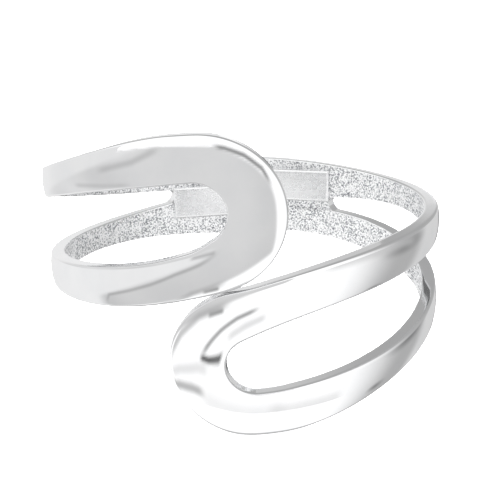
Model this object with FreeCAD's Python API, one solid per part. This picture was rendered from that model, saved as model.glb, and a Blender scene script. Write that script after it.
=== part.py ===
import FreeCAD, Part
import math
import os

# Spring-hinged bypass cuff bracelet, all sizes in millimetres.
# Frame: +Z is the axis of the ring, the hinge is at the back (+Y) and the two
# looped ends pass each other at the front (-Y).  The origin is the ring centre.
# Both halves have one shape, the left one turned 180 degrees about the Y axis,
# except that the head of the right half reaches a little further (RIGHT_REACH).

# Ring
INNER_A = 29.75          # half of the inside width, along X
INNER_B = 24.35          # half of the inside depth, along Y
WALL = 2.25              # thickness of the band at its edges
CROWN = 0.25             # extra thickness at the middle of each arm
EDGE_DROP = 0.05         # how far the outer corners are rounded down

# Edge heights of the right half, at these distances round the ring from the back
STATIONS = (0.0, 20.0, 40.0, 60.0, 70.0, 80.0)
TOP_EDGE = (7.50, 6.40, 5.75, 4.85, 3.45, 1.20)
SLOT_TOP = (-0.20, 0.85, 1.20, -1.15, -2.90, -5.85)
SLOT_BOTTOM = (-1.00, -2.45, -6.30, -12.00, -14.25, -15.85)
BOTTOM_EDGE = (-7.20, -8.00, -11.60, -17.45, -20.75, -22.60)

# Rounded head of each loop, on the unrolled band
HEAD_S = 81.9            # distance of the left head's centre round the ring
RIGHT_REACH = 0.8        # the right head reaches this much further
HEAD_Z = -11.25
HEAD_R = 11.45
HEAD_START = 72.0        # angle where the top edge meets the head, degrees
SLOT_END_S = 80.9
SLOT_END_Z = -11.5
SLOT_END_R = 4.4
SLOT_END_START = 60.0
TOP_ARM_END = (83.0, 81.0)       # ends of the upper arm's outer and slot edges
BOTTOM_ARM_END = (79.5, 78.5)
ARM_STEPS = 22
HEAD_STEPS = 18

# Web that joins the two arms next to the hinge
WEB_END = 15.5           # distance round the ring where the open slot begins
WEB_INSET_IN = 0.35      # recess of the web under the inner face
WEB_INSET_OUT = 0.25     # recess of the web under the outer edges

# Hinge
PIVOT_Y = 25.45          # position of the pin axis
PIN_R = 0.60
PIN_HALF = 7.0           # half of the pin length
KNUCKLE_R = 1.25
RUNNING_GAP = 0.03       # radial play of the pin in the turning knuckles
KNUCKLE_GAP = 0.10       # play at each end of a knuckle
NOTCH_PLAY = 0.15        # play round a knuckle in the other half
CLOSED_GAP = 0.12        # each end face stands this far from the middle plane
OPEN_ANGLE = 60.0        # full opening
STOP_PLAY = 1.0          # the end faces meet this many degrees past it
KNUCKLES_RIGHT = ((3.7, 7.0), (-3.5, -0.1))      # heights of the right half's knuckles
NOTCHES_RIGHT = ((-0.1, 3.7), (-12.0, -3.5))     # room in it for the left half's knuckles

# Spring covers, flat stamped pans on the inner face
COVER_NEAR = 1.75        # end next to the hinge
COVER_FAR = 14.7
COVER_NEAR_Y = 23.15     # face plane at the near end
COVER_FAR_Y = 20.55      # face plane at the far end
COVER_SHEET = 0.50
COVER_SEAT = 0.04        # solder film between pan and casting
COVER_RIGHT_Z = (-0.40, 5.70)
COVER_LEFT_Z = (-3.40, 2.70)

# Leaf spring
LEAF_THICK = 0.30
LEAF_Z = (0.15, 2.15)
LEAF_REACH = 12.2
LEAF_MID_Y = 23.80
LEAF_END_Y = 21.75

OUT = "parts"


def vec(x, y, z):
    return FreeCAD.Vector(x, y, z)


def ring_lengths(steps):
    # Distance round the inner ellipse from the back, for even steps of angle.
    lengths = [0.0]
    for i in range(steps):
        mid = math.radians(240.0) * (i + 0.5) / steps
        speed = math.hypot(INNER_A * math.cos(mid), INNER_B * math.sin(mid))
        lengths.append(lengths[-1] + speed * math.radians(240.0) / steps)
    return lengths


RING_STEPS = 2400
RING_TABLE = ring_lengths(RING_STEPS)


def ring_angle(s):
    # Angle of the ellipse at distance s round from the back, negative s too.
    if s < 0:
        return -ring_angle(-s)
    low = 0
    high = RING_STEPS
    while high - low > 1:
        mid = (low + high) // 2
        if RING_TABLE[mid] > s:
            high = mid
        else:
            low = mid
    part = (s - RING_TABLE[low]) / (RING_TABLE[high] - RING_TABLE[low])
    return math.radians(240.0) * (low + part) / RING_STEPS


def wrapped(s, z, depth):
    # Point of the band: s round the ring, height z, depth outward from the inner face.
    angle = ring_angle(s)
    nx = math.sin(angle) / INNER_A
    ny = math.cos(angle) / INNER_B
    size = math.hypot(nx, ny)
    x = INNER_A * math.sin(angle) + depth * nx / size
    y = INNER_B * math.cos(angle) + depth * ny / size
    return vec(x, y, z)


def through(values, s):
    # Smooth curve through the edge heights at the six stations.
    total = 0.0
    for i, si in enumerate(STATIONS):
        term = values[i]
        for j, sj in enumerate(STATIONS):
            if j != i:
                term *= (s - sj) / (si - sj)
        total += term
    return total


def between(outer, slot, part, depth):
    # Point of an arm, part of the way from its outer edge to its slot edge.
    s = outer[0] + (slot[0] - outer[0]) * part
    z = outer[1] + (slot[1] - outer[1]) * part
    return wrapped(s, z, depth)


def crown_row(outer, slot):
    # Polished outer face across an arm: domed, with rounded-down corners.
    row = []
    for i in range(9):
        part = 0.5 - 0.5 * math.cos(math.pi * i / 8)
        across = abs(2 * part - 1)
        rise = CROWN * (1 - across ** 2) - EDGE_DROP * across ** 8
        row.append(between(outer, slot, part, WALL + rise))
    return row


def inner_row(outer, slot):
    return [between(outer, slot, i / 4.0, 0.0) for i in range(5)]


def smooth_face(rows):
    surface = Part.BSplineSurface()
    surface.interpolate(rows)
    return surface


def arm_stations(ends, outer_edge, slot_edge):
    # Edge points of one arm, closer together towards the head.
    pairs = []
    for i in range(ARM_STEPS):
        t = i / (ARM_STEPS - 1.0)
        reach = 1.4 * t - 0.4 * t * t
        outer_s = -1.0 + (ends[0] + 1.0) * reach
        slot_s = -1.0 + (ends[1] + 1.0) * reach
        pairs.append(((outer_s, through(outer_edge, outer_s)), (slot_s, through(slot_edge, slot_s))))
    return pairs


def head_stations(reach):
    # Edge points round the head, from the upper arm to the lower one.
    pairs = []
    for i in range(HEAD_STEPS + 1):
        part = i / float(HEAD_STEPS)
        turn = math.radians(HEAD_START - (HEAD_START + 90.0) * part)
        bend = math.radians(SLOT_END_START - (SLOT_END_START + 90.0) * part)
        outer = (HEAD_S + reach + HEAD_R * math.cos(turn), HEAD_Z + HEAD_R * math.sin(turn))
        slot = (SLOT_END_S + reach + SLOT_END_R * math.cos(bend), SLOT_END_Z + SLOT_END_R * math.sin(bend))
        pairs.append((outer, slot))
    return pairs


def stroke_stations(reach):
    # From the hinge along the upper arm, round the head and back along the lower arm.
    upper = arm_stations(TOP_ARM_END, TOP_EDGE, SLOT_TOP)
    lower = arm_stations(BOTTOM_ARM_END, BOTTOM_EDGE, SLOT_BOTTOM)
    return upper + head_stations(reach) + lower[::-1]


def loop(reach):
    # One U-shaped arm: domed outer face, inner face, two edge walls and two flat ends.
    stations = stroke_stations(reach)
    outside = smooth_face([crown_row(*pair) for pair in stations])
    inside = smooth_face([inner_row(*pair) for pair in stations])
    faces = [outside.toShape(), inside.toShape()]
    u0, u1, v0, v1 = outside.bounds()
    p0, p1, q0, q1 = inside.bounds()
    for v, q in ((v0, q0), (v1, q1)):
        faces.append(Part.makeRuledSurface(outside.vIso(v).toShape(), inside.vIso(q).toShape()))
    for u, p in ((u0, p0), (u1, p1)):
        crown = outside.uIso(u).toShape()
        floor = inside.uIso(p).toShape()
        first = Part.LineSegment(outside.value(u, v0), inside.value(p, q0)).toShape()
        last = Part.LineSegment(outside.value(u, v1), inside.value(p, q1)).toShape()
        faces.append(Part.Face(Part.Wire(Part.__sortEdges__([crown, last, floor, first]))))
    shell = Part.makeShell(faces)
    shell.sewShape()
    body = Part.Solid(Part.Shell(shell.Faces))
    if body.Volume < 0:
        body.reverse()
    return body


def web():
    # Recessed bridge between the arms, from the hinge to the start of the slot.
    wires = []
    for s in (-0.8, 5.0, 10.0, WEB_END):
        low = through(SLOT_BOTTOM, s) - 1.2
        high = through(SLOT_TOP, s) + 1.2
        corners = [
            wrapped(s, low, WEB_INSET_IN),
            wrapped(s, high, WEB_INSET_IN),
            wrapped(s, high, WALL - WEB_INSET_OUT),
            wrapped(s, low, WALL - WEB_INSET_OUT),
        ]
        wires.append(Part.makePolygon(corners + corners[:1]))
    return Part.makeLoft(wires, True, False)


def end_cutter():
    # Everything beyond the end face of the right half: flat inside, slanted outside the pin.
    slant = math.radians(OPEN_ANGLE / 2 + STOP_PLAY)
    rise = 6.0
    points = [
        vec(CLOSED_GAP, PIVOT_Y - 6.0, -12.0),
        vec(CLOSED_GAP, PIVOT_Y, -12.0),
        vec(CLOSED_GAP + rise * math.tan(slant), PIVOT_Y + rise, -12.0),
        vec(-8.0, PIVOT_Y + rise, -12.0),
        vec(-8.0, PIVOT_Y - 6.0, -12.0),
    ]
    return Part.Face(Part.makePolygon(points + points[:1])).extrude(vec(0, 0, 24.0))


def barrel(radius, low, high):
    return Part.makeCylinder(radius, high - low, vec(0, PIVOT_Y, low))


def half(reach):
    # Right half: loop and web, cut at the hinge, with its own two knuckles.
    body = loop(reach).fuse(web()).cut(end_cutter())
    for low, high in NOTCHES_RIGHT:
        body = body.cut(barrel(KNUCKLE_R + NOTCH_PLAY, low, high))
    for low, high in KNUCKLES_RIGHT:
        body = body.fuse(barrel(KNUCKLE_R, low + KNUCKLE_GAP, high - KNUCKLE_GAP))
    return body


def turned(shape):
    copy = shape.copy()
    copy.rotate(vec(0, 0, 0), vec(0, 1, 0), 180)
    return copy


def bored(shape, play):
    return shape.cut(barrel(PIN_R + play, -12.0, 12.0))


def pan_block(near, far, low, high, lift):
    # Prism from the flat face of a cover out to the casting, lift above the face plane.
    slope = (COVER_FAR_Y - COVER_NEAR_Y) / (COVER_FAR - COVER_NEAR)
    points = [
        vec(near, COVER_NEAR_Y + slope * (near - COVER_NEAR) + lift, low),
        vec(far, COVER_NEAR_Y + slope * (far - COVER_NEAR) + lift, low),
        vec(far, INNER_B + 2.0, low),
        vec(near, INNER_B + 2.0, low),
    ]
    return Part.Face(Part.makePolygon(points + points[:1])).extrude(vec(0, 0, high - low))


def bore_of_ring(margin):
    oval = Part.Ellipse(vec(0, 0, -12), INNER_A - margin, INNER_B - margin)
    return Part.Face(Part.Wire([oval.toShape()])).extrude(vec(0, 0, 24))


def cover(low, high):
    # Pan: flat face, two long flanges and a far flange, open towards the hinge.
    outside = pan_block(COVER_NEAR, COVER_FAR, low, high, 0.0)
    inside = pan_block(COVER_NEAR - 1.0, COVER_FAR - COVER_SHEET,
                       low + COVER_SHEET, high - COVER_SHEET, COVER_SHEET)
    pan = outside.cut(inside).common(bore_of_ring(COVER_SEAT))
    return pan


def leaf_spring():
    # Bowed strip that lies over the barrel and runs under both covers.
    low, high = LEAF_Z
    inner = Part.Arc(vec(-LEAF_REACH, LEAF_END_Y, low), vec(0, LEAF_MID_Y, low),
                     vec(LEAF_REACH, LEAF_END_Y, low))
    outer = Part.Arc(vec(-LEAF_REACH, LEAF_END_Y + LEAF_THICK, low),
                     vec(0, LEAF_MID_Y + LEAF_THICK, low),
                     vec(LEAF_REACH, LEAF_END_Y + LEAF_THICK, low))
    ends = []
    for side in (-1, 1):
        ends.append(Part.LineSegment(vec(side * LEAF_REACH, LEAF_END_Y, low),
                                     vec(side * LEAF_REACH, LEAF_END_Y + LEAF_THICK, low)).toShape())
    outline = Part.Wire(Part.__sortEdges__([inner.toShape(), ends[1], outer.toShape(), ends[0]]))
    return Part.Face(outline).extrude(vec(0, 0, high - low))


def pin():
    return barrel(PIN_R, -PIN_HALF, PIN_HALF)


def flipped_cover():
    pan = cover(-COVER_LEFT_Z[1], -COVER_LEFT_Z[0])
    return turned(pan)


def build():
    return {
        "half_right": bored(half(RIGHT_REACH), RUNNING_GAP),
        "half_left": bored(turned(half(0.0)), 0.0),
        "hinge_pin": pin(),
        "cover_right": cover(*COVER_RIGHT_Z),
        "cover_left": flipped_cover(),
        "leaf_spring": leaf_spring(),
    }


def main():
    os.makedirs(OUT, exist_ok=True)
    for name, shape in build().items():
        solids = shape.Solids
        box = shape.BoundBox
        print(name, "valid", shape.isValid(), "solids", len(solids), "volume", round(shape.Volume, 2),
              "box", [round(v, 2) for v in (box.XMin, box.XMax, box.YMin, box.YMax, box.ZMin, box.ZMax)])
        shape.exportStep(os.path.join(OUT, name + ".step"))


main()
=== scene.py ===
import math

import bmesh
import bpy
import numpy as np
from mathutils import Matrix, Vector, noise


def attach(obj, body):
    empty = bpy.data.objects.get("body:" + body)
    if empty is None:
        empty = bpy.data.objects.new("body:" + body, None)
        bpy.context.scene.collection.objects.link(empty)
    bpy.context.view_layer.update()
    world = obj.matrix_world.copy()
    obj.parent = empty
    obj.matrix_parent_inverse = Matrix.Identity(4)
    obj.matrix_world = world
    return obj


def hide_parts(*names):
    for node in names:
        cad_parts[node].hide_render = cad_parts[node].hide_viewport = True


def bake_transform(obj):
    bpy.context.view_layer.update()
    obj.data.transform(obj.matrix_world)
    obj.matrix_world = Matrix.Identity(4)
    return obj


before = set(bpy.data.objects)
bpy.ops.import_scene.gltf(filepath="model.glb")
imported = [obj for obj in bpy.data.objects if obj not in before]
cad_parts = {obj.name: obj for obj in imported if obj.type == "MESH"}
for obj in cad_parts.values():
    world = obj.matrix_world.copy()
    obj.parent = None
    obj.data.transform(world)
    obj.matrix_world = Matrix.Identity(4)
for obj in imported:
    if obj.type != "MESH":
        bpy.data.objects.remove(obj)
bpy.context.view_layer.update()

# Spring-hinged bypass cuff bracelet.  Shapes are worked out in millimetres in the
# shared frame (+Z ring axis, +Y hinge, -Y front) and turned into metres at the end.
MM = 0.001

# Inner ellipse of the ring, and the band's thickness, crown and thinner edges
INNER_A, INNER_B = 29.75, 24.35
WALL = 2.25
CROWN = 0.25
EDGE_DROP = 0.05
PIVOT_Y = 25.45

# Edge heights of the right half at these distances round the ring from the back
STATIONS = (0.0, 20.0, 40.0, 60.0, 70.0, 80.0)
TOP_EDGE = (7.50, 6.40, 5.75, 4.85, 3.45, 1.20)
SLOT_TOP = (-0.20, 0.85, 1.20, -1.15, -2.90, -5.85)
SLOT_BOTTOM = (-1.00, -2.45, -6.30, -12.00, -14.25, -15.85)
BOTTOM_EDGE = (-7.20, -8.00, -11.60, -17.45, -20.75, -22.60)

# Head of the loop, and where the arms run into it (outer edge, slot edge)
HEAD_S, HEAD_Z, HEAD_R, HEAD_START = 81.9, -11.25, 11.45, 72.0
SLOT_S, SLOT_Z, SLOT_R, SLOT_START = 80.9, -11.5, 4.4, 60.0
RIGHT_REACH = 0.8
TOP_ARM_END = (83.0, 81.0)
BOTTOM_ARM_END = (79.5, 78.5)
BACK_END = -1.0  # both arms start behind the hinge plane and are cut back to it

# Start of the open slot, and the recess that leads to it
SLOT_OPEN = 14.9
SLOT_ROUND = 1.25
SLOT_SETTLE = 6.0
RECESS_START = 7.7
RECESS_ROUND = 2.5
RECESS_HALF = 1.15
RECESS_RIM = 0.35
RECESS_DEEP = 0.35
RECESS_PAST, RECESS_RUNOUT = 3.0, 1.5

# Mesh rows along a half: arms, head, ahead of the slot, and round the slot's end
ARM_COUNT = 340
HEAD_COUNT = 150
SHUT_COUNT = 54
ROUND_COUNT = 13
ROW_CLEAR = 0.15

# Mesh columns over the inner and the outer face
INNER_COUNT = 30
DOME_COUNT = 34

# Rounded edges, the outer ones rounder towards the back
CORNER_IN = 0.22
CORNER_OUT = 0.42
BACK_ROUNDER = 0.38
BACK_FROM, BACK_OVER = 36.0, 14.0

# Web ahead of the slot: its middle line is raised over an arm's edge height,
# and more so towards the slot
WEB_LIFT = 0.15
WEB_GROWTH = 0.45
WEB_FROM, WEB_OVER = 2.0, 8.0

# Relief of the as-cast inner faces
RELIEF_WAVE, RELIEF_GRAIN, RELIEF_PIT = 0.05, 0.035, 0.012
RELIEF_MARGIN = 0.6


# ---------------------------------------------------------------- ring and outlines

RING_ANGLES = np.linspace(0.0, math.radians(240.0), 4801)


def ring_lengths():
    # Distance round the inner ellipse from the back, at each of the ring angles.
    mid = (RING_ANGLES[1:] + RING_ANGLES[:-1]) / 2
    speed = np.hypot(INNER_A * np.cos(mid), INNER_B * np.sin(mid))
    return np.concatenate([[0.0], np.cumsum(speed * np.diff(RING_ANGLES))])


RING_LENGTHS = ring_lengths()


def wrapped(s, z, depth):
    # Points of the band: s round the ring, height z, depth outward from the inner face.
    s, z, depth = np.broadcast_arrays(s, z, depth)
    angle = np.sign(s) * np.interp(np.abs(s), RING_LENGTHS, RING_ANGLES)
    nx, ny = np.sin(angle) / INNER_A, np.cos(angle) / INNER_B
    size = np.hypot(nx, ny)
    x = INNER_A * np.sin(angle) + depth * nx / size
    y = INNER_B * np.cos(angle) + depth * ny / size
    return np.stack([x, y, z], axis=-1)


def through(values, s):
    # Smooth curve through the edge heights at the six stations.
    total = np.zeros_like(s)
    for i, si in enumerate(STATIONS):
        term = np.full_like(s, values[i])
        for j, sj in enumerate(STATIONS):
            if j != i:
                term = term * (s - sj) / (si - sj)
        total += term
    return total


def spline(knots, points, at):
    # Natural cubic spline through points, one column at a time.
    n = len(knots)
    h = np.diff(knots)
    a = np.zeros((n, n))
    b = np.zeros((n, points.shape[1]))
    a[0, 0] = a[-1, -1] = 1.0
    for i in range(1, n - 1):
        a[i, i - 1], a[i, i], a[i, i + 1] = h[i - 1], 2 * (h[i - 1] + h[i]), h[i]
        ahead = (points[i + 1] - points[i]) / h[i]
        b[i] = 3 * (ahead - (points[i] - points[i - 1]) / h[i - 1])
    c = np.linalg.solve(a, b)
    k = np.clip(np.searchsorted(knots, at) - 1, 0, n - 2)
    d = (c[k + 1] - c[k]) / (3 * h[k][:, None])
    lin = (points[k + 1] - points[k]) / h[k][:, None] - h[k][:, None] * (2 * c[k] + c[k + 1]) / 3
    t = (at - knots[k])[:, None]
    return points[k] + lin * t + c[k] * t ** 2 + d * t ** 3


def edge_rows(outer_s, slot_s, outer_edge, slot_edge):
    heights = through(outer_edge, outer_s), through(slot_edge, slot_s)
    return np.stack([outer_s, heights[0], slot_s, heights[1]], axis=1)


def arm_pairs(ends, outer_edge, slot_edge, count=22):
    # Matching points of an arm's two edges, closer together near the head.
    t = np.linspace(0.0, 1.0, count)
    along = 1.4 * t - 0.4 * t * t
    outer_s = BACK_END + (ends[0] - BACK_END) * along
    slot_s = BACK_END + (ends[1] - BACK_END) * along
    return edge_rows(outer_s, slot_s, outer_edge, slot_edge)


def head_pairs(reach, count=19):
    # Matching points of the head's outer circle and the slot's end circle.
    part = np.linspace(0.0, 1.0, count)
    turn = np.radians(HEAD_START - (HEAD_START + 90.0) * part)
    bend = np.radians(SLOT_START - (SLOT_START + 90.0) * part)
    return np.stack([
        HEAD_S + reach + HEAD_R * np.cos(turn), HEAD_Z + HEAD_R * np.sin(turn),
        SLOT_S + reach + SLOT_R * np.cos(bend), SLOT_Z + SLOT_R * np.sin(bend),
    ], axis=1)


def smooth01(t):
    t = np.clip(t, 0.0, 1.0)
    return t * t * (3 - 2 * t)


def near_rows(ends, outer_edge, slot_edge, slot_s):
    # Stations of one arm next to the hinge; both arms share the same slot distances.
    outer_s = BACK_END + (slot_s - BACK_END) * (ends[0] - BACK_END) / (ends[1] - BACK_END)
    return edge_rows(outer_s, slot_s, outer_edge, slot_edge)


def stroke(reach):
    # Rows of (outer s, outer z, slot s, slot z) from the hinge, round the head and back.
    pairs = np.concatenate([
        arm_pairs(TOP_ARM_END, TOP_EDGE, SLOT_TOP),
        head_pairs(reach),
        arm_pairs(BOTTOM_ARM_END, BOTTOM_EDGE, SLOT_BOTTOM)[::-1],
    ])
    steps = np.hypot(*np.diff(pairs[:, :2], axis=0).T)
    knots = np.concatenate([[0.0], np.cumsum(steps)])
    rows = spline(knots, pairs, np.linspace(0.0, knots[-1], 2 * ARM_COUNT + HEAD_COUNT))
    end = SLOT_OPEN + SLOT_ROUND
    turns = np.linspace(0.0, math.pi / 2, ROUND_COUNT)[1:]
    shared = np.concatenate([
        np.linspace(BACK_END, SLOT_OPEN, SHUT_COUNT),
        SLOT_OPEN + SLOT_ROUND * (1 - np.cos(turns)),
    ])
    rows = rows[rows[:, 2] > end + ROW_CLEAR]
    upper = near_rows(TOP_ARM_END, TOP_EDGE, SLOT_TOP, shared)
    lower = near_rows(BOTTOM_ARM_END, BOTTOM_EDGE, SLOT_BOTTOM, shared)[::-1]
    return np.concatenate([upper, rows, lower])


def slot_opening(rows):
    # Closes the slot edges onto one middle line before the slot opens.
    s = rows[:, 2]
    middle = (through(SLOT_TOP, s) + through(SLOT_BOTTOM, s)) / 2
    t = np.clip((s - SLOT_OPEN) / SLOT_ROUND, 0.0, 1.0)
    gape = np.sqrt(np.clip(1 - (1 - t) ** 2, 0.0, 1.0))
    rows = rows.copy()
    near = s < SLOT_OPEN + SLOT_ROUND
    # the crown follows a slot edge that opens more slowly than the slot does
    slow = middle + (rows[:, 3] - middle) * smooth01((s - SLOT_OPEN) / SLOT_SETTLE)
    slow_width = np.hypot(s - rows[:, 0], slow - rows[:, 1])
    rows[near, 3] = (middle + (rows[:, 3] - middle) * gape)[near]
    return rows, gape, middle, slow_width


# ---------------------------------------------------------------- the cast half


def inner_depth(points, s, z, middle):
    # As-cast inner face: shallow waves, grain and pits, and the recess before the slot.
    depth = np.zeros(len(points))
    for i, p in enumerate(points):
        v = Vector(p)
        wave = noise.noise(v * 0.45)
        grain = noise.fractal(v * 2.1, 0.9, 2.1, 3, noise_basis="PERLIN_ORIGINAL")
        pit = noise.cell(v * 1.3)
        depth[i] = RELIEF_WAVE * wave + RELIEF_GRAIN * grain + RELIEF_PIT * pit
    before = np.clip((RECESS_START + RECESS_ROUND - s) / RECESS_ROUND, 0, 1)
    half_high = RECESS_HALF * np.sqrt(1 - before ** 2)
    inside = smooth01((half_high - np.abs(z - middle)) / RECESS_RIM + 0.5)
    near = smooth01((SLOT_OPEN + RECESS_PAST - s) / RECESS_RUNOUT) * (s > RECESS_START)
    return depth + RECESS_DEEP * inside * near


def quarter_drop(distance, radius):
    # How far a rounded edge lies below the face, by the distance from the edge.
    left = np.clip(distance / np.maximum(radius, 1e-6), 0, 1)
    return radius * (1 - np.sqrt(np.clip(1 - (1 - left) ** 2, 0.0, 1.0)))


def half_mesh(reach):
    # Closed grid: a ring of columns round the section, repeated at every row.
    rows, gape, middle, slow_width = slot_opening(stroke(reach))
    outer, slot = rows[:, :2], rows[:, 2:]
    # true width across the arm, on the unrolled band
    width = np.hypot(*(slot - outer).T)
    slot_soft = smooth01((rows[:, 2] - SLOT_OPEN) / (SLOT_ROUND * 1.5))
    n = len(rows)

    def spot(part, depth):
        s = outer[:, 0] + (slot[:, 0] - outer[:, 0]) * part
        z = outer[:, 1] + (slot[:, 1] - outer[:, 1]) * part
        return s, z, depth

    columns, kinds = [], []
    corner = CORNER_IN / width
    slot_corner = slot_soft * CORNER_IN / width
    for t in np.linspace(0.0, 1.0, INNER_COUNT):
        columns.append(spot(corner + (1 - slot_corner - corner) * t, np.zeros(n)))
        kinds.append("inner")
    for a in np.radians((25.0, 50.0, 75.0, 90.0)):
        rise = slot_soft * CORNER_IN * (1 - math.cos(a))
        columns.append(spot(1 - slot_corner * (1 - math.sin(a)), rise))
        kinds.append("slot")
    edge = WALL - EDGE_DROP
    round_out = CORNER_OUT + BACK_ROUNDER * smooth01((BACK_FROM - outer[:, 0]) / BACK_OVER)
    slot_rim = slot_soft * CORNER_OUT
    merge = 1 - slot_soft
    web_lift = merge * (WEB_GROWTH * smooth01((rows[:, 2] - WEB_FROM) / WEB_OVER) + WEB_LIFT)
    web_edge = edge + web_lift
    share = width / slow_width

    def crown(part):
        # height of the outer face before its edges are rounded
        across = np.abs(2 * part * share - 1)
        lift = edge + (CROWN + EDGE_DROP) * (1 - across ** 2)
        ridge = (1 + np.cos(math.pi * across)) / 2
        web = web_edge + (CROWN + EDGE_DROP - web_lift) * ridge
        return np.where(part * share > 0.5, lift * slot_soft + web * merge, lift)

    slot_edge = crown(1.0)
    for t in (0.2, 0.4, 0.6, 0.8, 1.0):
        foot = CORNER_IN * slot_soft
        columns.append(spot(np.ones(n), foot + (slot_edge - slot_rim - foot) * t))
        kinds.append("slot")
    for t in np.linspace(0.0, 1.0, DOME_COUNT):
        part = 1 - (0.5 - 0.5 * math.cos(math.pi * t))
        if part > 0.5:
            fall = quarter_drop((1 - part) * width, slot_rim)
        else:
            fall = quarter_drop(part * width, round_out)
        columns.append(spot(np.full(n, part), crown(part) - fall))
        kinds.append("dome")
    for t in (0.8, 0.6, 0.4, 0.2):
        columns.append(spot(np.zeros(n), CORNER_IN + (edge - round_out - CORNER_IN) * t))
        kinds.append("wall")
    for a in np.radians((90.0, 60.0, 30.0)):
        rise = np.full(n, CORNER_IN * (1 - math.cos(a)))
        columns.append(spot(corner * (1 - math.sin(a)), rise))
        kinds.append("wall")

    m = len(columns)
    s = np.stack([np.broadcast_to(c[0], n) for c in columns], axis=1)
    z = np.stack([np.broadcast_to(c[1], n) for c in columns], axis=1)
    d = np.stack([np.broadcast_to(c[2], n) for c in columns], axis=1)
    k = INNER_COUNT
    flat = wrapped(s[:, :k], z[:, :k], 0.0).reshape(-1, 3)
    mid = np.repeat(middle[:, None], k, axis=1).reshape(-1)
    rough = inner_depth(flat, s[:, :k].reshape(-1), z[:, :k].reshape(-1), mid)
    rough = rough.reshape(n, k)
    across = np.linspace(0.0, 1.0, k)[None, :] * width[:, None]
    rough *= smooth01(across / RELIEF_MARGIN)
    d[:, :k] += rough
    slots = [j for j in range(m) if kinds[j] == "slot"]
    rim_depth = d[:, slots[-1]]
    for j in slots:
        fade = np.clip(1 - d[:, j] / rim_depth, 0.0, 1.0)
        d[:, j] += rough[:, -1] * fade
    points = wrapped(s, z, d).reshape(-1, 3) * MM

    opened = gape > 1e-6
    faces, mats = [], []
    for i in range(n - 1):
        shut = not (opened[i] or opened[i + 1])
        for j in range(m):
            j2 = (j + 1) % m
            pair = (kinds[j], kinds[j2])
            if shut and "slot" in pair:
                continue
            a, b = i * m + j, i * m + j2
            faces.append((a, b, b + m, a + m))
            mats.append(1 if pair == ("inner", "inner") else 0)
    faces.append(tuple(range(m))[::-1])
    mats.append(0)
    faces.append(tuple((n - 1) * m + j for j in range(m)))
    mats.append(0)
    return points, faces, mats


WELD = 2e-7


def mesh_object(name, points, faces):
    mesh = bpy.data.meshes.new(name)
    mesh.from_pydata([tuple(p) for p in points], [], faces)
    mesh.update()
    obj = bpy.data.objects.new(name, mesh)
    bpy.context.collection.objects.link(obj)
    return obj


def tidy_mesh(obj):
    # Welds doubled points, drops loose ones and turns all faces outward.
    bm = bmesh.new()
    bm.from_mesh(obj.data)
    bmesh.ops.remove_doubles(bm, verts=bm.verts, dist=WELD)
    loose = [v for v in bm.verts if not v.link_faces]
    bmesh.ops.delete(bm, geom=loose, context="VERTS")
    bmesh.ops.recalc_face_normals(bm, faces=bm.faces)
    bm.to_mesh(obj.data)
    bm.free()


def smooth(obj, angle=40.0):
    for p in obj.data.polygons:
        p.use_smooth = True
    obj.data.set_sharp_from_angle(angle=math.radians(angle))


# ---------------------------------------------------------------- hinge ends

PIN_R = 0.60
PIN_HALF = 7.0
PIN_RIM = 0.15
BORE_PLAY = 0.02
KNUCKLE_R = 1.25
KNUCKLE_RIM = 0.12
NOTCH_PLAY = 0.15
KNUCKLE_GAP = 0.10
CLOSED_GAP = 0.12
OPEN_ANGLE = 60.0
STOP_PLAY = 1.0
END_CUT, END_CUT_BEHIND, END_CUT_HALF = 6.0, 8.0, 12.0
KNUCKLES = ((3.7, 7.0), (-3.5, -0.1))
NOTCHES = ((-0.1, 3.7), (-12.0, -3.5))


def prism(name, outline, low, high):
    # Upright prism on an outline in X and Y, all in millimetres.
    n = len(outline)
    points = [(x * MM, y * MM, z * MM) for z in (low, high) for x, y in outline]
    faces = [tuple(range(n))[::-1], tuple(range(n, 2 * n))]
    faces += [(i, (i + 1) % n, n + (i + 1) % n, n + i) for i in range(n)]
    return mesh_object(name, points, faces)


def pivot_circle(radius, count=72):
    turns = [2 * math.pi * i / count for i in range(count)]
    return [(radius * math.cos(a), PIVOT_Y + radius * math.sin(a)) for a in turns]


def cut_away(obj, cutters):
    # Takes the cutters out of the piece, one at a time.
    for cutter in cutters:
        mod = obj.modifiers.new("cut", "BOOLEAN")
        mod.operation = "DIFFERENCE"
        mod.solver = "EXACT"
        mod.object = cutter
        graph = bpy.context.evaluated_depsgraph_get()
        cut = bpy.data.meshes.new_from_object(obj.evaluated_get(graph))
        obj.modifiers.clear()
        obj.data = cut
    for cutter in cutters:
        bpy.data.objects.remove(cutter)


def lathe(name, profile, count=64):
    # Turned piece about the pivot axis from a closed profile of (radius, height).
    n = len(profile)
    points, faces = [], []
    for i in range(count):
        a = 2 * math.pi * i / count
        for r, z in profile:
            points.append((r * math.cos(a) * MM, (PIVOT_Y + r * math.sin(a)) * MM, z * MM))
    for i in range(count):
        i2 = (i + 1) % count
        for j in range(n):
            j2 = (j + 1) % n
            faces.append((i * n + j, i2 * n + j, i2 * n + j2, i * n + j2))
    return mesh_object(name, points, faces)


def rod_profile(inner, radius, rim, low, high):
    # Half section of a rod or barrel whose two rims are softened.
    part = 0.3 * rim
    return [
        (inner, low), (radius - rim, low), (radius - part, low + part), (radius, low + rim),
        (radius, high - rim), (radius - part, high - part), (radius - rim, high), (inner, high),
    ]


def knuckle(name, low, high):
    # Barrel with a bore for the pin.
    return lathe(name, rod_profile(PIN_R + BORE_PLAY, KNUCKLE_R, KNUCKLE_RIM, low, high))


def join(name, objs):
    bpy.ops.object.select_all(action="DESELECT")
    for o in objs:
        o.select_set(True)
    bpy.context.view_layer.objects.active = objs[0]
    bpy.ops.object.join()
    objs[0].name = name
    objs[0].data.name = name
    return objs[0]


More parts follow.
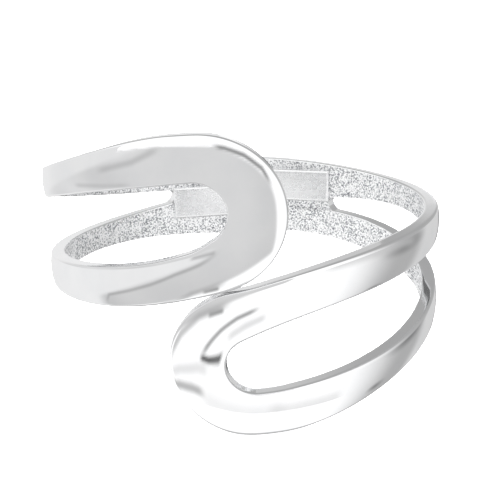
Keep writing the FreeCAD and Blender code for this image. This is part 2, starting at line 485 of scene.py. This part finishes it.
def cast_half(name, reach, polished, cast):
    # One casting: the band with its end face and notches cut, and two knuckles.
    points, faces, mats = half_mesh(reach)
    body = mesh_object(name, points, faces)
    paint(body, polished, cast)
    body.data.polygons.foreach_set("material_index", mats)
    tidy_mesh(body)
    slant = math.tan(math.radians(OPEN_ANGLE / 2 + STOP_PLAY))
    near, far = PIVOT_Y - END_CUT, PIVOT_Y + END_CUT
    end = [
        (CLOSED_GAP, near), (CLOSED_GAP, PIVOT_Y), (CLOSED_GAP + END_CUT * slant, far),
        (-END_CUT_BEHIND, far), (-END_CUT_BEHIND, near),
    ]
    cutters = [prism("end_cut", end, -END_CUT_HALF, END_CUT_HALF)]
    for low, high in NOTCHES:
        cutters.append(prism("notch", pivot_circle(KNUCKLE_R + NOTCH_PLAY), low, high))
    cut_away(body, cutters)
    barrels = []
    for low, high in KNUCKLES:
        barrels.append(knuckle(name + "_k", low + KNUCKLE_GAP, high - KNUCKLE_GAP))
        paint(barrels[-1], polished)
    return join(name, [body] + barrels)


def turned_over(obj):
    # The other half: the same piece turned 180 degrees about the Y axis.
    obj.data.transform(Matrix.Rotation(math.pi, 4, "Y"))


# ---------------------------------------------------------------- spring and covers

COVER_NEAR, COVER_FAR = 1.75, 14.7
COVER_NEAR_Y, COVER_FAR_Y = 23.15, 20.55
COVER_ROUND = 0.55
COVER_SHEET = 0.35
COVER_SKIRT = 0.05
SEAT_GAP = 0.04


def ring_y(x):
    # Inner face of the band at the back, by the distance to either side.
    return INNER_B * np.sqrt(1 - (x / INNER_A) ** 2)


def cover(name, low, high):
    # Stamped pan: flat face with rolled edges, skirts down to the casting.
    nx, nz = 61, 41
    us = 0.5 - 0.5 * np.cos(np.linspace(0, math.pi, nx))
    vs = 0.5 - 0.5 * np.cos(np.linspace(0, math.pi, nz))
    xs = COVER_NEAR + (COVER_FAR - COVER_NEAR) * us
    zs = low + (high - low) * vs
    x, z = np.meshgrid(xs, zs, indexing="ij")
    face = COVER_NEAR_Y + (COVER_FAR_Y - COVER_NEAR_Y) * us[:, None]
    seat = ring_y(x) - SEAT_GAP
    drop = np.zeros_like(x)
    for edge in (z - low, high - z, COVER_FAR - x):
        t = np.clip(1 - edge / COVER_ROUND, 0, 1)
        drop = np.maximum(drop, COVER_ROUND * (1 - np.sqrt(1 - t * t)))
    front = np.minimum(face + drop, seat - COVER_SKIRT)
    points = np.stack([x, front, z], axis=-1).reshape(-1, 3)
    faces = []
    for i in range(nx - 1):
        for j in range(nz - 1):
            a = i * nz + j
            faces.append((a, a + nz, a + nz + 1, a + 1))
    rim = [(i, 0) for i in range(nx)] + [(nx - 1, j) for j in range(1, nz)]
    rim += [(i, nz - 1) for i in range(nx - 2, -1, -1)]
    start = nx * nz
    skirt = [(x[i, j], seat[i, j], z[i, j]) for i, j in rim]
    for k in range(len(rim) - 1):
        a = rim[k][0] * nz + rim[k][1]
        b = rim[k + 1][0] * nz + rim[k + 1][1]
        faces.append((b, a, start + k, start + k + 1))
    points = np.concatenate([points, np.array(skirt)])
    obj = mesh_object(name, points * MM, faces)
    mod = obj.modifiers.new("sheet", "SOLIDIFY")
    mod.thickness = COVER_SHEET * MM
    mod.offset = -1.0
    graph = bpy.context.evaluated_depsgraph_get()
    obj.data = bpy.data.meshes.new_from_object(obj.evaluated_get(graph))
    obj.modifiers.clear()
    return obj


LEAF_THICK, LEAF_Z, LEAF_REACH = 0.30, (0.15, 2.15), 12.2
LEAF_MID_Y, LEAF_END_Y = 23.80, 21.75
LEAF_SOFT, LEAF_TIP = 0.05, 0.25


def leaf(name):
    # Bowed strip with rounded ends and softened edges.
    count, across = 121, 9
    points, faces = [], []
    mid_z = sum(LEAF_Z) / 2
    half_z = (LEAF_Z[1] - LEAF_Z[0]) / 2
    ring = 2 * across
    for i in range(count):
        x = -LEAF_REACH + 2 * LEAF_REACH * i / (count - 1)
        y = LEAF_MID_Y - (LEAF_MID_Y - LEAF_END_Y) * (x / LEAF_REACH) ** 2
        left = (LEAF_REACH - abs(x)) / half_z
        wide = half_z * math.sqrt(1 - (1 - min(left, 1.0)) ** 2)
        wide = max(wide, LEAF_TIP)
        for side in (0, 1):
            for j in range(across):
                t = -1 + 2 * j / (across - 1)
                t = t if side == 0 else -t
                soft = LEAF_SOFT * abs(t) ** 6
                off = soft if side == 0 else LEAF_THICK - soft
                points.append((x * MM, (y + off) * MM, (mid_z + wide * t) * MM))
    for i in range(count - 1):
        for j in range(ring):
            j2 = (j + 1) % ring
            a, b = i * ring + j, i * ring + j2
            faces.append((a, b, b + ring, a + ring))
    faces.append(tuple(range(ring))[::-1])
    faces.append(tuple((count - 1) * ring + j for j in range(ring)))
    return mesh_object(name, points, faces)


def pin(name):
    return lathe(name, rod_profile(0.001, PIN_R, PIN_RIM, -PIN_HALF, PIN_HALF), 48)


# ---------------------------------------------------------------- materials


class Nodes:
    """Small helper: adds nodes to one tree and links them."""

    def __init__(self, tree):
        self.tree = tree

    def add(self, kind, sockets=None, **props):
        node = self.tree.nodes.new(kind)
        for key, value in props.items():
            setattr(node, key, value)
        for key, value in (sockets or {}).items():
            if isinstance(value, bpy.types.NodeSocket):
                self.tree.links.new(value, node.inputs[key])
            else:
                node.inputs[key].default_value = value
        return node

    def noise(self, where, scale, detail=4.0, rough=0.5):
        sockets = {"Vector": where, "Scale": scale, "Detail": detail, "Roughness": rough}
        return self.add("ShaderNodeTexNoise", sockets).outputs[0]

    def ramp(self, value, low, high, a, b, **props):
        node = self.add("ShaderNodeMapRange", {0: value, 1: low, 2: high, 3: a, 4: b}, **props)
        return node.outputs[0]

    def step(self, value, low, high):
        # Smooth 0 to 1 between two values of a node output.
        return self.ramp(value, low, high, 0.0, 1.0, interpolation_type="SMOOTHSTEP")

    def sums(self, kind, *values):
        node = self.add("ShaderNodeMath", dict(enumerate(values)), operation=kind)
        return node.outputs[0]

    def blend(self, base, target, amount):
        sockets = {0: amount, 2: base, 3: target}
        return self.add("ShaderNodeMix", sockets, data_type="FLOAT").outputs[0]

    def colour(self, factor, a, b):
        sockets = {0: factor, 6: (*a, 1.0), 7: (*b, 1.0)}
        return self.add("ShaderNodeMix", sockets, data_type="RGBA").outputs[2]

    def stretch(self, where, scale, turn=(0.0, 0.0, 0.0)):
        sockets = {"Vector": where, "Rotation": turn, "Scale": scale}
        return self.add("ShaderNodeMapping", sockets).outputs[0]

    def bump(self, height, strength, distance, under=None):
        sockets = {"Height": height, "Strength": strength, "Distance": distance}
        if under is not None:
            sockets["Normal"] = under
        return self.add("ShaderNodeBump", sockets).outputs[0]


def new_material(name):
    mat = bpy.data.materials.new(name)
    mat.use_nodes = True
    tree = mat.node_tree
    tree.nodes.clear()
    n = Nodes(tree)
    out = n.add("ShaderNodeOutputMaterial")
    shader = n.add("ShaderNodeBsdfPrincipled", {"Metallic": 1.0})
    tree.links.new(shader.outputs[0], out.inputs[0])
    where = n.add("ShaderNodeTexCoord").outputs["Object"]
    return mat, n, shader, where


def finish_metal(n, shader, tone, roughness, relief):
    for socket, value in (("Base Color", tone), ("Roughness", roughness), ("Normal", relief)):
        n.tree.links.new(value, shader.inputs[socket])


def polished_metal():
    # Mirror polish: faint buffing waves, hairline scratches and small smears.
    mat, n, shader, where = new_material("polished_cast_metal")
    smear = n.noise(where, 220.0)
    tone = n.colour(n.ramp(smear, 0.35, 0.65, 0.0, 1.0), (0.93, 0.935, 0.945), (0.965, 0.967, 0.972))
    roughness = n.ramp(smear, 0.3, 0.7, 0.035, 0.075)
    hair = n.noise(n.stretch(where, (1.0, 1.0, 14.0)), 900.0, 3.0, 0.6)
    waves = n.bump(n.noise(where, 130.0, 1.0), 0.05, 0.0004)
    finish_metal(n, shader, tone, roughness, n.bump(hair, 0.015, 0.00005, waves))
    return mat


def as_cast_metal():
    # Inside of the casting: bright but grainy, with dark pits between the grains.
    mat, n, shader, where = new_material("as_cast_inner_metal")
    grain = n.noise(where, 3200.0, 3.0, 0.6)
    patch = n.noise(where, 420.0, 3.0)
    clean = n.sums("ADD", n.ramp(grain, 0.38, 0.56, 0.0, 1.0), n.ramp(patch, 0.44, 0.70, 0.0, 0.35))
    tone = n.colour(clean, (0.20, 0.21, 0.23), (0.97, 0.972, 0.975))
    shader.inputs["Metallic"].default_value = 0.90
    cells = n.add("ShaderNodeTexVoronoi", {"Vector": where, "Scale": 2400.0}).outputs["Distance"]
    relief = n.bump(cells, 0.25, 0.00008, n.bump(grain, 0.5, 0.00012))
    finish_metal(n, shader, tone, n.ramp(patch, 0.3, 0.7, 0.42, 0.58), relief)
    return mat


def stamped_sheet():
    # Smooth satin sheet with fine random scratches.
    mat, n, shader, where = new_material("stamped_sheet")
    mottle = n.noise(where, 900.0)
    tone = n.colour(n.ramp(mottle, 0.3, 0.7, 0.0, 1.0), (0.89, 0.895, 0.90), (0.96, 0.962, 0.965))
    lines = n.noise(n.stretch(where, (1.0, 1.0, 22.0), (0.0, 0.25, 0.0)), 260.0, 2.0, 0.7)
    scratch = n.bump(n.ramp(lines, 0.60, 0.64, 0.0, 1.0), 0.25, 0.00003)
    relief = n.bump(mottle, 0.08, 0.00008, scratch)
    finish_metal(n, shader, tone, n.ramp(mottle, 0.3, 0.7, 0.22, 0.32), relief)
    return mat


def hinge_steel():
    # Drawn steel of the pin and spring.
    mat, n, shader, where = new_material("hinge_steel")
    lines = n.noise(n.stretch(where, (18.0, 18.0, 1.0)), 180.0, 3.0, 0.6)
    tone = n.colour(n.ramp(lines, 0.3, 0.7, 0.0, 1.0), (0.50, 0.51, 0.52), (0.66, 0.67, 0.68))
    finish_metal(n, shader, tone, n.ramp(lines, 0.3, 0.7, 0.2, 0.38), n.bump(lines, 0.15, 0.00005))
    return mat


def paint(obj, *mats):
    obj.data.materials.clear()
    for mat in mats:
        obj.data.materials.append(mat)


# ---------------------------------------------------------------- build the bracelet

POLISHED, CAST = polished_metal(), as_cast_metal()
SHEET, STEEL = stamped_sheet(), hinge_steel()

right = cast_half("bracelet_half_right", RIGHT_REACH, POLISHED, CAST)
left = cast_half("bracelet_half_left", 0.0, POLISHED, CAST)
turned_over(left)
for obj, body, node in ((right, "right", "half_right"), (left, "left", "half_left")):
    smooth(obj, 50.0)
    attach(obj, body)
    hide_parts(node)

pan_right = cover("spring_cover_right", -0.40, 5.70)
pan_left = cover("spring_cover_left", -2.70, 3.40)
turned_over(pan_left)
for obj, body, node in ((pan_right, "right", "cover_right"), (pan_left, "left", "cover_left")):
    paint(obj, SHEET)
    smooth(obj, 35.0)
    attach(obj, body)
    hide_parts(node)

axle = pin("hinge_axle")
paint(axle, STEEL)
smooth(axle, 30.0)
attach(axle, "left")
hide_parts("hinge_pin")

strip = leaf("spring_leaf")
paint(strip, STEEL)
smooth(strip, 45.0)
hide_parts("leaf_spring")
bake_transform(strip)


# ---------------------------------------------------------------- studio

FLOOR_Z = -22.78
FLOOR_HALF = 1500.0
FLOOR_CORNERS = ((-1, -1), (1, -1), (1, 1), (-1, 1))


def studio_floor():
    # Pale floor just under the bracelet, left out of mirror reflections.
    corners = [(x * FLOOR_HALF, y * FLOOR_HALF, FLOOR_Z) for x, y in FLOOR_CORNERS]
    floor = mesh_object("studio_floor", np.array(corners) * MM, [(0, 1, 2, 3)])
    pale = bpy.data.materials.new("pale_floor")
    pale.use_nodes = True
    sockets = pale.node_tree.nodes["Principled BSDF"].inputs
    sockets["Base Color"].default_value = (0.92, 0.92, 0.92, 1)
    sockets["Roughness"].default_value = 0.9
    sockets["Emission Color"].default_value = (1, 1, 1, 1)
    sockets["Emission Strength"].default_value = 0.7
    paint(floor, pale)
    floor.visible_glossy = False


studio_floor()


# Brightness of the surroundings: white in front, greyer to the sides, behind and below
WORLD_WHITE = 1.12
WORLD_LEFT = 0.86
WORLD_RIGHT = 0.44
WORLD_RIGHT_BACK = 0.66
WORLD_TOP_BACK = 0.40
WORLD_LOW_BACK = 0.16
WORLD_LEFT_BACK = 0.66
WORLD_BELOW = 0.50

# Soft dark spots, in degrees: turn and rise of the middle, half width and half height
DARK_SPOTS = ((98.0, -11.0, 26.0, 8.0, 0.24), (84.0, -36.0, 10.0, 4.0, 0.25))


def studio_world():
    # Surroundings shaded by turn round from the front (az) and by rise (el).
    world = bpy.data.worlds.new("studio")
    bpy.context.scene.world = world
    world.use_nodes = True
    tree = world.node_tree
    tree.nodes.clear()
    n = Nodes(tree)
    out = n.add("ShaderNodeOutputWorld")
    back = n.add("ShaderNodeBackground")
    tree.links.new(back.outputs[0], out.inputs[0])
    where = n.add("ShaderNodeTexCoord").outputs["Generated"]
    x, y, z = n.add("ShaderNodeSeparateXYZ", {0: where}).outputs
    az = n.sums("ARCTAN2", x, n.sums("MULTIPLY", y, -1.0))
    el = n.sums("ARCSINE", z)
    rad = math.radians

    def turned(start, full):
        return n.step(az, rad(start), rad(full))

    def raised(start, full):
        return n.step(el, rad(start), rad(full))

    backdrop = n.sums("MULTIPLY", turned(156, 172), raised(26, 10))
    right_side = n.sums("MULTIPLY", turned(45, 95), n.sums("SUBTRACT", 1.0, backdrop))
    right_back = n.sums("MULTIPLY", turned(106, 124), raised(14, 4))
    behind = n.step(n.sums("ABSOLUTE", az), rad(100), rad(130))
    top_back = n.sums("MULTIPLY", behind, raised(10, 42))
    left_back = n.sums("MULTIPLY", turned(-148, -172), raised(4, -8))
    rear = n.sums("ADD", turned(150, 168), turned(-168, -178))
    low_back = n.sums("MULTIPLY", rear, raised(4, -8))
    tone = n.blend(WORLD_WHITE, WORLD_LEFT, turned(-78, -112))
    for target, amount in (
        (WORLD_RIGHT, right_side), (WORLD_RIGHT_BACK, right_back), (WORLD_TOP_BACK, top_back),
        (WORLD_LEFT_BACK, left_back), (WORLD_LOW_BACK, low_back),
    ):
        tone = n.blend(tone, target, amount)
    for turn, rise, wide, high, level in DARK_SPOTS:
        across = n.sums("DIVIDE", n.sums("SUBTRACT", az, rad(turn)), rad(wide))
        upward = n.sums("DIVIDE", n.sums("SUBTRACT", el, rad(rise)), rad(high))
        far = n.sums("ADD", n.sums("POWER", across, 2.0), n.sums("POWER", upward, 2.0))
        tone = n.blend(tone, level, n.step(n.sums("SQRT", far), 1.0, 0.0))
    tone = n.blend(tone, WORLD_BELOW, raised(-46, -60))
    direct = n.add("ShaderNodeLightPath").outputs["Is Camera Ray"]
    tone = n.blend(tone, WORLD_WHITE, direct)
    colour = n.add("ShaderNodeCombineColor", {0: tone, 1: tone, 2: tone})
    tree.links.new(colour.outputs[0], back.inputs[0])
    back.inputs[1].default_value = 1.0


studio_world()

# Reflector: how far in front of the band it stands, its top edge, and how each
# mark fades out over this share of its length
CARD_AWAY = 8.0
CARD_TOP = 28.0
CARD_TURNS = (-125.0, 76.0, 0.5)
CARD_RISE = 0.4
MARK_FADE = 0.18

# Soft marks on it: brightness, cover, half width, and the line it follows as
# (degrees round from the front, height in mm)
MARKS = (
    (0.30, 0.6, 0.9, ((-3, 5.4), (-5, 4.5), (-10, 2.7), (-18, 0.5), (-26, -2.2), (-35, -4.6),
                      (-44, -6.7), (-46.5, -9.5), (-46, -13))),
    (0.36, 0.7, 0.8, ((-14, 4.4), (-5, 4.8))),
    (0.14, 0.9, 1.0, ((-5, 21.3), (0, 20.8), (6, 19.6), (11.5, 17.2), (15, 13.4))),
    (0.50, 0.8, 1.6, ((-46, 14.2), (-30, 17.0), (-19, 20.9))),
    (0.52, 0.7, 1.3, ((-60, 9.6), (-42, 9.9), (-30, 10.4))),
    (0.20, 0.9, 1.3, ((-9, -5.4), (-6, -4.9), (-3, -4.4))),
    (0.04, 1.0, 1.0, ((-10, -12.6), (-10, -13.7), (-7, -14.2), (-3, -14.4), (-1, -14.1))),
    (0.30, 0.9, 1.1, ((-11, -14.0), (-9.5, -13.0), (-7, -11.4), (-3.5, -9.2), (1, -6.9),
                      (8.5, -4.6))),
    (0.62, 0.6, 2.0, ((-2, -12.0), (4, -9.4), (11, -7.6))),
    (0.30, 0.75, 1.9, ((-29, -22.6), (-25.5, -20.9), (-21, -20.0), (-15, -19.6), (-9, -19.9))),
    (0.62, 0.55, 1.8, ((-26, -18.0), (-20, -16.4), (-12, -15.4), (-6, -15.6))),
    (0.45, 0.8, 1.7, ((-26, -16.0), (-23, -12.5), (-19, -9.2), (-12, -5.6), (0, -2.6))),
    (0.70, 0.4, 5.0, ((-14, -20.8), (-4, -22.4), (6, -22.9), (16, -22.4))),
    (0.62, 0.5, 4.0, ((8, -22.5), (20, -22.6), (36, -22.0))),
    (0.55, 0.6, 2.4, ((24, 2.6), (45, 3.2), (62, 2.6), (75, 1.2))),
)


def soft_step(value, low, high):
    return smooth01((value - low) / (high - low))


def streak(turn, z, path, wide):
    # 1 on a bent line of (turn, height) points, fading across it and towards both ends.
    near = np.full(turn.shape, 1e9)
    along = np.zeros(turn.shape)
    done = 0.0
    for (t0, z0), (t1, z1) in zip(path[:-1], path[1:]):
        dt, dz = t1 - t0, z1 - z0
        length = math.hypot(dt, dz)
        k = np.clip(((turn - t0) * dt + (z - z0) * dz) / length ** 2, 0, 1)
        away = np.hypot(turn - t0 - k * dt, z - z0 - k * dz)
        closer = away < near
        near = np.where(closer, away, near)
        along = np.where(closer, done + k * length, along)
        done += length
    ends = np.minimum(along, done - along) / (MARK_FADE * done)
    return soft_step(near, wide, 0.0) * soft_step(ends, 0.0, 1.0)


def card_look(turn, z):
    # Brightness and cover of the reflector, by turn round from the front (degrees)
    # and height (mm).  First the outline: a rounded grey sheet open to the left.
    middle = 8.2 + 0.125 * np.minimum(turn + 5.0, 0.0)
    above = 14.2 + 0.05 * np.clip(-10.0 - turn, 0.0, 60.0)
    u = (turn + 36.0) / 51.5
    v = (z - middle) / np.where(z > middle, above, 17.0)
    far = (np.abs(u) ** 2.7 + np.abs(v) ** 2.7) ** (1 / 2.7)
    low_line = -8.2 + 0.30 * (turn + 20.0)
    over_line = soft_step(z, low_line - 0.6, low_line + 0.6)
    rounded = soft_step(far, 1.015, 0.985) * soft_step(turn, -100.0, -66.0)
    cover = np.where(u < 0, soft_step(turn, -100.0, -62.0), rounded)
    cover = cover * over_line * soft_step(z, 27.0, 23.5)
    # then its greys: a slow fall to the right and down, and slight waves on the left
    tone = 0.70 - 0.07 * soft_step(z, 8.0, -6.0) - 0.05 * soft_step(turn, 2.0, 14.0)
    tone = tone + 0.05 * np.sin(turn / 9.0 + z / 4.0) * soft_step(turn, -20.0, -45.0)
    # a pale tongue, a pale ridge over the left arm and a pale lower end
    line = 4.4 + 0.285 * (turn + 5.0)
    tongue = soft_step(z, line - 0.4, line + 1.4) * soft_step(z, 6.4 + 0.05 * turn, 5.2 + 0.05 * turn)
    tongue = tongue * soft_step(turn, -4.5, -8.5)
    tone = tone + (0.86 - tone) * tongue
    ridge = 9.0 + 0.235 * (turn + 70.0)
    on_ridge = soft_step(z, ridge + 0.2, ridge + 2.2) * soft_step(turn, -18.0, -32.0)
    tone = tone + (0.80 - tone) * on_ridge
    pale_end = soft_step(z, 4.0, 0.0) * soft_step(turn, -45.0, -52.0)
    tone = tone + (0.88 - tone) * pale_end
    for level, most, wide, path in MARKS:
        mark = most * streak(turn, z, path, wide)
        total = mark + cover * (1 - mark)
        tone = (level * mark + tone * cover * (1 - mark)) / np.maximum(total, 1e-6)
        cover = total
    return np.clip(tone, 0.0, 2.0), np.clip(cover, 0.0, 1.0)


def reflector_card():
    # Curved reflector standing close in front, seen only in the polished metal.
    turns = np.arange(*CARD_TURNS)
    heights = np.arange(FLOOR_Z + CARD_RISE / 2, CARD_TOP, CARD_RISE)
    turn, z = np.meshgrid(turns, heights, indexing="ij")
    a = np.radians(turn)
    wide, deep = INNER_A + WALL + CARD_AWAY, INNER_B + WALL + CARD_AWAY
    points = np.stack([wide * np.sin(a), -deep * np.cos(a), z], axis=-1).reshape(-1, 3) * MM
    nz = len(heights)
    faces = [(i * nz + j, (i + 1) * nz + j, (i + 1) * nz + j + 1, i * nz + j + 1)
             for i in range(len(turns) - 1) for j in range(nz - 1)]
    card = mesh_object("reflector_card", points, faces)
    tone, cover = card_look(turn, z)
    look = card.data.attributes.new("look", "FLOAT_COLOR", "POINT")
    look.data.foreach_set("color", np.stack([tone, tone, tone, cover], axis=-1).reshape(-1))
    mat = bpy.data.materials.new("reflector")
    mat.use_nodes = True
    tree = mat.node_tree
    tree.nodes.clear()
    n = Nodes(tree)
    seen = n.add("ShaderNodeAttribute", attribute_name="look")
    glow = n.add("ShaderNodeEmission", {"Color": seen.outputs["Color"]})
    clear = n.add("ShaderNodeBsdfTransparent")
    both = n.add("ShaderNodeMixShader", {
        0: seen.outputs["Alpha"], 1: clear.outputs[0], 2: glow.outputs[0],
    })
    n.add("ShaderNodeOutputMaterial", {0: both.outputs[0]})
    mat.cycles.emission_sampling = "NONE"
    paint(card, mat)
    card.visible_camera = False
    card.visible_diffuse = False
    card.visible_shadow = False
    card.visible_transmission = False


reflector_card()


def soft_light(name, place, target, size, power):
    data = bpy.data.lights.new(name, "AREA")
    data.shape = "DISK"
    data.size = size
    data.energy = power
    obj = bpy.data.objects.new(name, data)
    bpy.context.collection.objects.link(obj)
    obj.location = place
    aim = Vector(target) - Vector(place)
    obj.rotation_euler = aim.to_track_quat("-Z", "Y").to_euler()
    obj.visible_glossy = False


soft_light("overhead", place=(0.0, 0.05, 0.55), target=(0, 0, 0), size=0.9, power=14.0)


# ---------------------------------------------------------------- camera

VIEW_AZ, VIEW_EL, VIEW_ROLL = math.radians(4.35), math.radians(18.88), math.radians(-1.78)
VIEW_DIST = 0.1565
TARGET = Vector((1.10, 0.0, -2.60)) * MM
SENSOR = 36.0
LENS = 66.888


def place_camera():
    data = bpy.data.cameras.new("camera")
    data.sensor_width = SENSOR
    data.lens = LENS
    data.clip_start, data.clip_end = 0.005, 10.0
    cam = bpy.data.objects.new("camera", data)
    bpy.context.collection.objects.link(cam)
    level = math.cos(VIEW_EL)
    back = Vector((math.sin(VIEW_AZ) * level, -math.cos(VIEW_AZ) * level, math.sin(VIEW_EL)))
    across = Vector((math.cos(VIEW_AZ), math.sin(VIEW_AZ), 0.0))
    upward = back.cross(across)
    c, s = math.cos(VIEW_ROLL), math.sin(VIEW_ROLL)
    x_axis, y_axis = across * c + upward * s, upward * c - across * s
    facing = Matrix((x_axis, y_axis, back)).transposed().to_4x4()
    cam.matrix_world = Matrix.Translation(TARGET + back * VIEW_DIST) @ facing
    bpy.context.scene.camera = cam


place_camera()
bpy.context.scene.view_settings.view_transform = "Standard"
